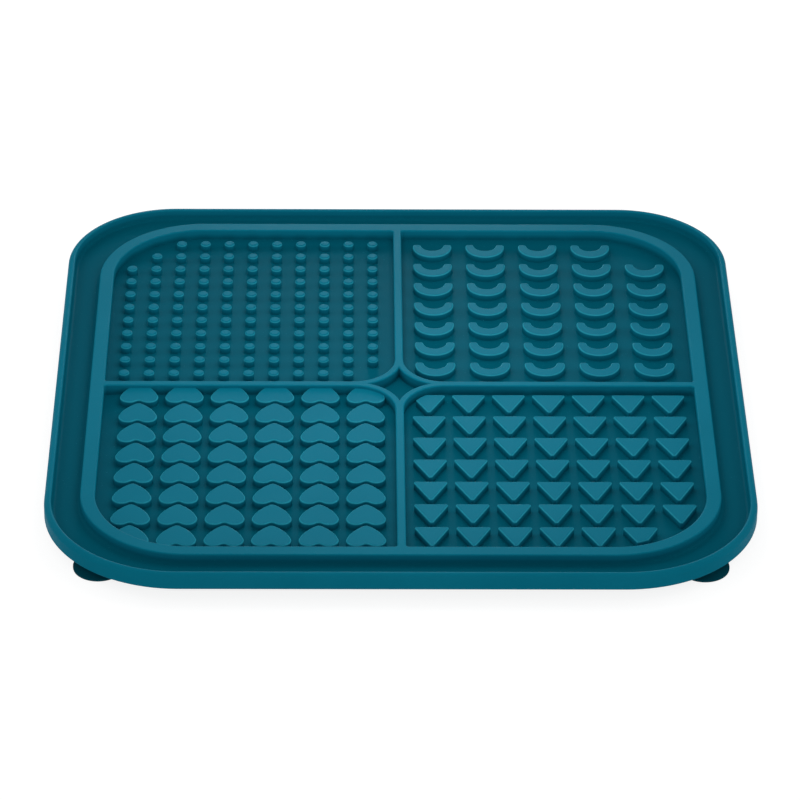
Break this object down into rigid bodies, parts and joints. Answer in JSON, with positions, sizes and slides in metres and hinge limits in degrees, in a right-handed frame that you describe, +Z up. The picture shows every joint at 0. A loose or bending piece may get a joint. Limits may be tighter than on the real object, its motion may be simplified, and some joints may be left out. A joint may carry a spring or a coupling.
{
  "type": "lick mat",
  "caption": "Square silicone lick mat for pets: raised frame with a cross of dividers, textured compartments, spill moat and suction cups under the corners.",
  "frame": {"origin": "on the surface that the mat stands on, under the middle of the mat", "axes": "+X to the mat's right, +Y to its back (the peg and crescent compartments), +Z up"},
  "size_m": [0.21, 0.21, 0.009],
  "materials": {
    "mat_silicone": "satin moulded silicone, teal",
    "cup_silicone": "satin moulded silicone, dark teal"
  },
  "bodies": {
    "mat": {"base_tray": "mat_silicone", "divider_frame": "mat_silicone", "peg_field": "mat_silicone", "crescent_field": "mat_silicone", "heart_field": "mat_silicone", "triangle_field": "mat_silicone"},
    "stem_front_left": {"cup_stem_front_left": "cup_silicone"},
    "skirt_front_left": {"cup_skirt_front_left": "cup_silicone"},
    "stem_front_right": {"cup_stem_front_right": "cup_silicone"},
    "skirt_front_right": {"cup_skirt_front_right": "cup_silicone"},
    "stem_back_left": {"cup_stem_back_left": "cup_silicone"},
    "skirt_back_left": {"cup_skirt_back_left": "cup_silicone"},
    "stem_back_right": {"cup_stem_back_right": "cup_silicone"},
    "skirt_back_right": {"cup_skirt_back_right": "cup_silicone"}
  },
  "joints": [
    {"name": "turn_front_left", "type": "hinge", "parent": "mat", "child": "stem_front_left", "pos_m": [-0.088, -0.088, 0.004], "axis": [0, 0, 1], "continuous": true},
    {"name": "press_front_left", "type": "slide", "parent": "stem_front_left", "child": "skirt_front_left", "axis": [0, 0, 1], "range_m": [0, 0.0018], "stiffness_N_per_m": 3000, "deforming": ["cup_skirt_front_left"]},
    {"name": "turn_front_right", "type": "hinge", "parent": "mat", "child": "stem_front_right", "pos_m": [0.088, -0.088, 0.004], "axis": [0, 0, 1], "continuous": true},
    {"name": "press_front_right", "type": "slide", "parent": "stem_front_right", "child": "skirt_front_right", "axis": [0, 0, 1], "range_m": [0, 0.0018], "stiffness_N_per_m": 3000, "deforming": ["cup_skirt_front_right"]},
    {"name": "turn_back_left", "type": "hinge", "parent": "mat", "child": "stem_back_left", "pos_m": [-0.088, 0.088, 0.004], "axis": [0, 0, 1], "continuous": true},
    {"name": "press_back_left", "type": "slide", "parent": "stem_back_left", "child": "skirt_back_left", "axis": [0, 0, 1], "range_m": [0, 0.0018], "stiffness_N_per_m": 3000, "deforming": ["cup_skirt_back_left"]},
    {"name": "turn_back_right", "type": "hinge", "parent": "mat", "child": "stem_back_right", "pos_m": [0.088, 0.088, 0.004], "axis": [0, 0, 1], "continuous": true},
    {"name": "press_back_right", "type": "slide", "parent": "stem_back_right", "child": "skirt_back_right", "axis": [0, 0, 1], "range_m": [0, 0.0018], "stiffness_N_per_m": 3000, "deforming": ["cup_skirt_back_right"]}
  ]
}
